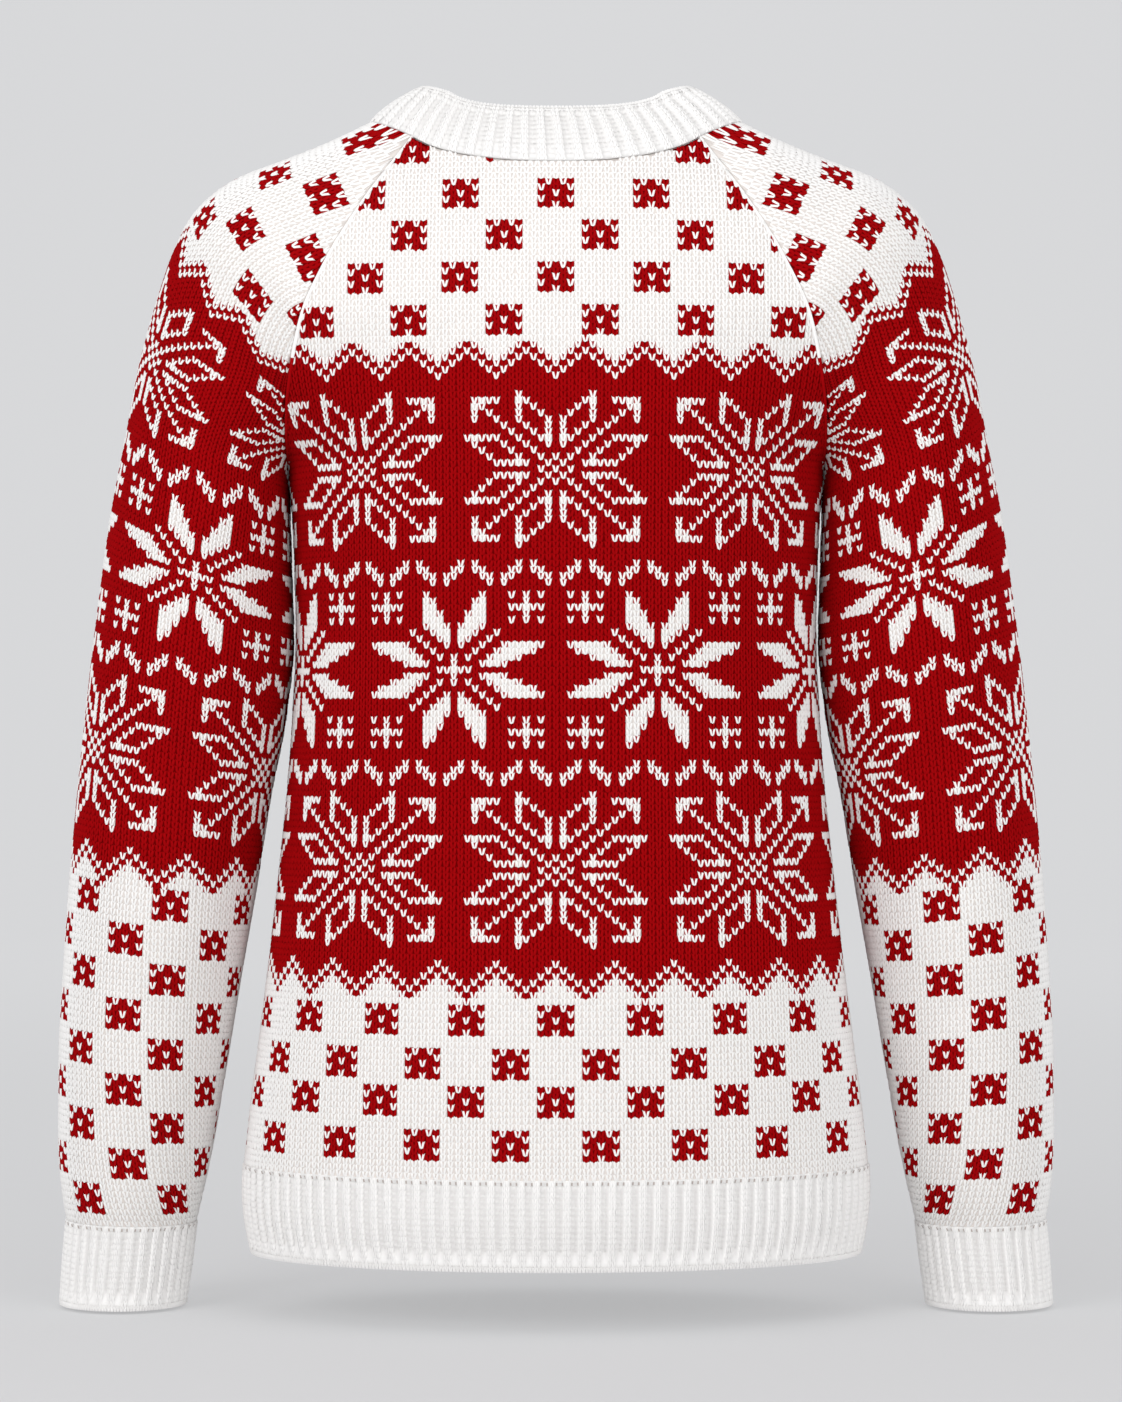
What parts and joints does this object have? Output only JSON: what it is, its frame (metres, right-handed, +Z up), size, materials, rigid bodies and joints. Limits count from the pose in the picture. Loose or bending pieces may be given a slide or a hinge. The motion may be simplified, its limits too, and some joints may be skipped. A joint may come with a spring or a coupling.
{
  "type": "christmas sweater",
  "caption": "Hollow crew-neck raglan pullover in the shape it takes when worn, with long sleeves, a ribbed neckband, hem and cuffs, and a two-colour snowflake pattern.",
  "frame": {"origin": "middle of the neck hole, at the height where the neckband's seam crosses the shoulders, where the wearer holds the pullover up", "axes": "+Z up toward the neck, -Y the front, +X the wearer's left sleeve"},
  "size_m": [0.5618, 0.2189, 0.6846],
  "materials": {
    "colourwork": "matte stranded stocking stitch in crimson and white yarn",
    "rib": "matte two-by-two rib in white yarn"
  },
  "bodies": {
    "root": {"body_back": "colourwork", "body_front": "colourwork", "sleeve_left": "colourwork", "sleeve_right": "colourwork", "neckband": "rib", "hem_rib": "rib", "cuff_left": "rib", "cuff_right": "rib"}
  },
  "joints": []
}
